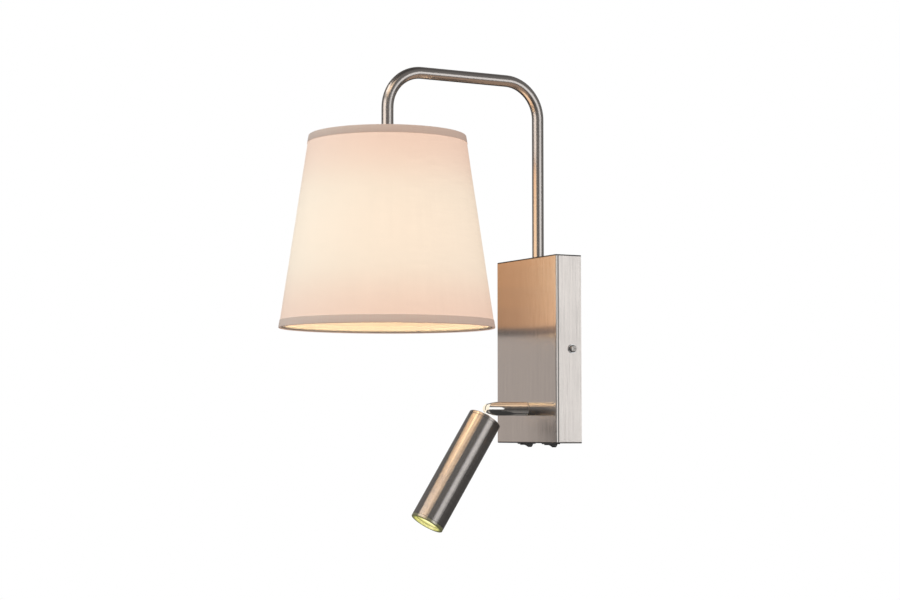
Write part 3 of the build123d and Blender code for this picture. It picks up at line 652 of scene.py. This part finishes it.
def room():
    """A dim room round the lamp; the camera itself sees plain white behind it."""
    world = bpy.data.worlds.new("studio")
    bpy.context.scene.world = world
    world.use_nodes = True
    n = Nodes(world.node_tree)
    white = world.node_tree.nodes["Background"]
    n.set(white, {"Color": colour(1, 1, 1), "Strength": 1.0})
    up = n.split(n.add("ShaderNodeTexCoord").outputs["Generated"])[2]
    rising = n.ramp(up, *FLOOR_TO_WALL, FLOOR_LEVEL, WALL_LEVEL)
    level = n.math("MULTIPLY", rising, n.ramp(up, *WALL_TO_OVERHEAD, 1.0, OVERHEAD_SHARE))
    around = n.add("ShaderNodeBackground")
    n.set(around, {"Color": colour(*ROOM_TINT), "Strength": level})
    chooser = n.add("ShaderNodeMixShader")
    n.set(chooser, {
        0: n.add("ShaderNodeLightPath").outputs["Is Camera Ray"],
        1: around.outputs[0],
        2: white.outputs[0],
    })
    n.set(world.node_tree.nodes["World Output"], {"Surface": chooser.outputs[0]})


def main_lights():
    """Softboxes to the right of the lamp, above it and in front; the front one leaves out the cover."""
    soft_light("softbox_right", (1.65, 0.62, 0.15), (1.25, 1.0), 0.84)
    soft_light("softbox_above", (-0.17, -1.33, 1.45), (1.0, 0.6), 1.5, (1.0, 0.90, 0.79))
    soft_light("warm_card_above", (0.97, -1.20, 1.45), (1.27, 0.6), 1.4, (1.0, 0.76, 0.53))
    front = soft_light("softbox_front", (0.15, -2.1, 0.50), (1.9, 1.25), 1.05, (1.0, 0.90, 0.82))
    only_for(group("lit_by_front", [name for name in frame["nodes"] if name != "cover"]), front)


def local_lights():
    """Weaker lights that each fall on a few pieces: the arm from below, the pieces behind the
    cover, the shade, and the nose of the post."""
    bounce = soft_light(
        "arm_bounce", (0.12, 0.08, 0.02), (0.5, 0.5), 0.30, (1.0, 0.68, 0.48), aim=(0.12, 0.08, 1.0))
    only_for(group("lit_by_bounce", ["arm_tube"]), bounce)
    rear = soft_light("softbox_rear", (0.4, 2.3, 0.5), (3.0, 2.0), 0.45, aim=(0, 0, 0))
    only_for(group("lit_from_the_rear", ["wall_bracket", "cable_grommet", "arm_nipple", "arm_nut"]), rear)
    fill = soft_light(
        "shade_fill", (-0.62, -1.9, 0.3), (1.5, 1.2), 0.75, (0.35, 0.8, 1.0), aim=(0, -0.17, 0.1))
    only_for(group("lit_by_fill", ["shade_fabric", "shade_tape_top", "shade_tape_bottom"]), fill)
    nose = soft_light(
        "nose_card", (-0.20, -0.17, -0.01), (0.35, 0.35), 0.85, (1.0, 0.88, 0.70), aim=tuple(PIVOT))
    only_for(group("lit_by_nose_card", ["post", "head_stem", "pivot_screw", "friction_washers"]), nose)


def cover_cards():
    """Cards that light the cover and its screws alone."""
    covered = group("lit_by_cards", ["cover", "cover_screws", "cover_screw_washers"])
    only_for(covered, soft_light("cover_side_card", (1.25, 1.05, 0.15), (1.3, 1.0), 0.29))
    for name, place in (("front", (0, -1.5, -1.3)), ("right", (1.6, 0, -1.3)), ("left", (-1.6, 0, -1.3))):
        only_for(covered, soft_light(f"cover_low_card_{name}", place, (2.0, 1.3), 0.35, aim=(0, 0, 0)))
    only_for(covered, cover_card("cover_plain_card", *PLAIN_CARD, PLAIN_LEVEL, PLAIN_TINT))
    for step in range(WARM_CARDS):
        low, high = (WARM_CARD_LOW + WARM_CARD_HEIGHT * i for i in (step, step + 1))
        level = WARM_LEVEL + WARM_RISE * step
        only_for(covered, cover_card(f"cover_warm_card_{step}", low, high, level, WARM_TINT))


def floor():
    """A plain floor well below the lamp. It glows so that it stays pale, and it neither shows in
    the metal nor lights the lamp."""
    bpy.ops.mesh.primitive_circle_add(
        vertices=96, radius=FLOOR_R, fill_type="NGON", location=(0, -0.1, FLOOR_Z))
    ground = bpy.context.object
    ground.name = "floor"
    made, n, shader = material("floor")
    n.set(shader, {
        "Base Color": colour(0.86, 0.86, 0.85),
        "Roughness": 0.7,
        "Emission Color": colour(0.98, 0.98, 0.97),
        "Emission Strength": 0.6,
    })
    ground.data.materials.append(made)
    ground.visible_glossy = ground.visible_diffuse = False


def camera():
    """From the right of the front and a little below, looking slightly up."""
    data = bpy.data.cameras.new("camera")
    data.sensor_width, data.lens = SENSOR_WIDTH, FOCAL_LENGTH
    made = bpy.data.objects.new("camera", data)
    bpy.context.scene.collection.objects.link(made)
    made.location = EYE
    made.rotation_euler = (math.pi / 2 + VIEW_PITCH, 0, VIEW_AZIMUTH)
    bpy.context.scene.camera = made


bpy.context.scene.view_settings.view_transform = "Standard"
room()
main_lights()
local_lights()
cover_cards()
shade_glow()
floor()
camera()
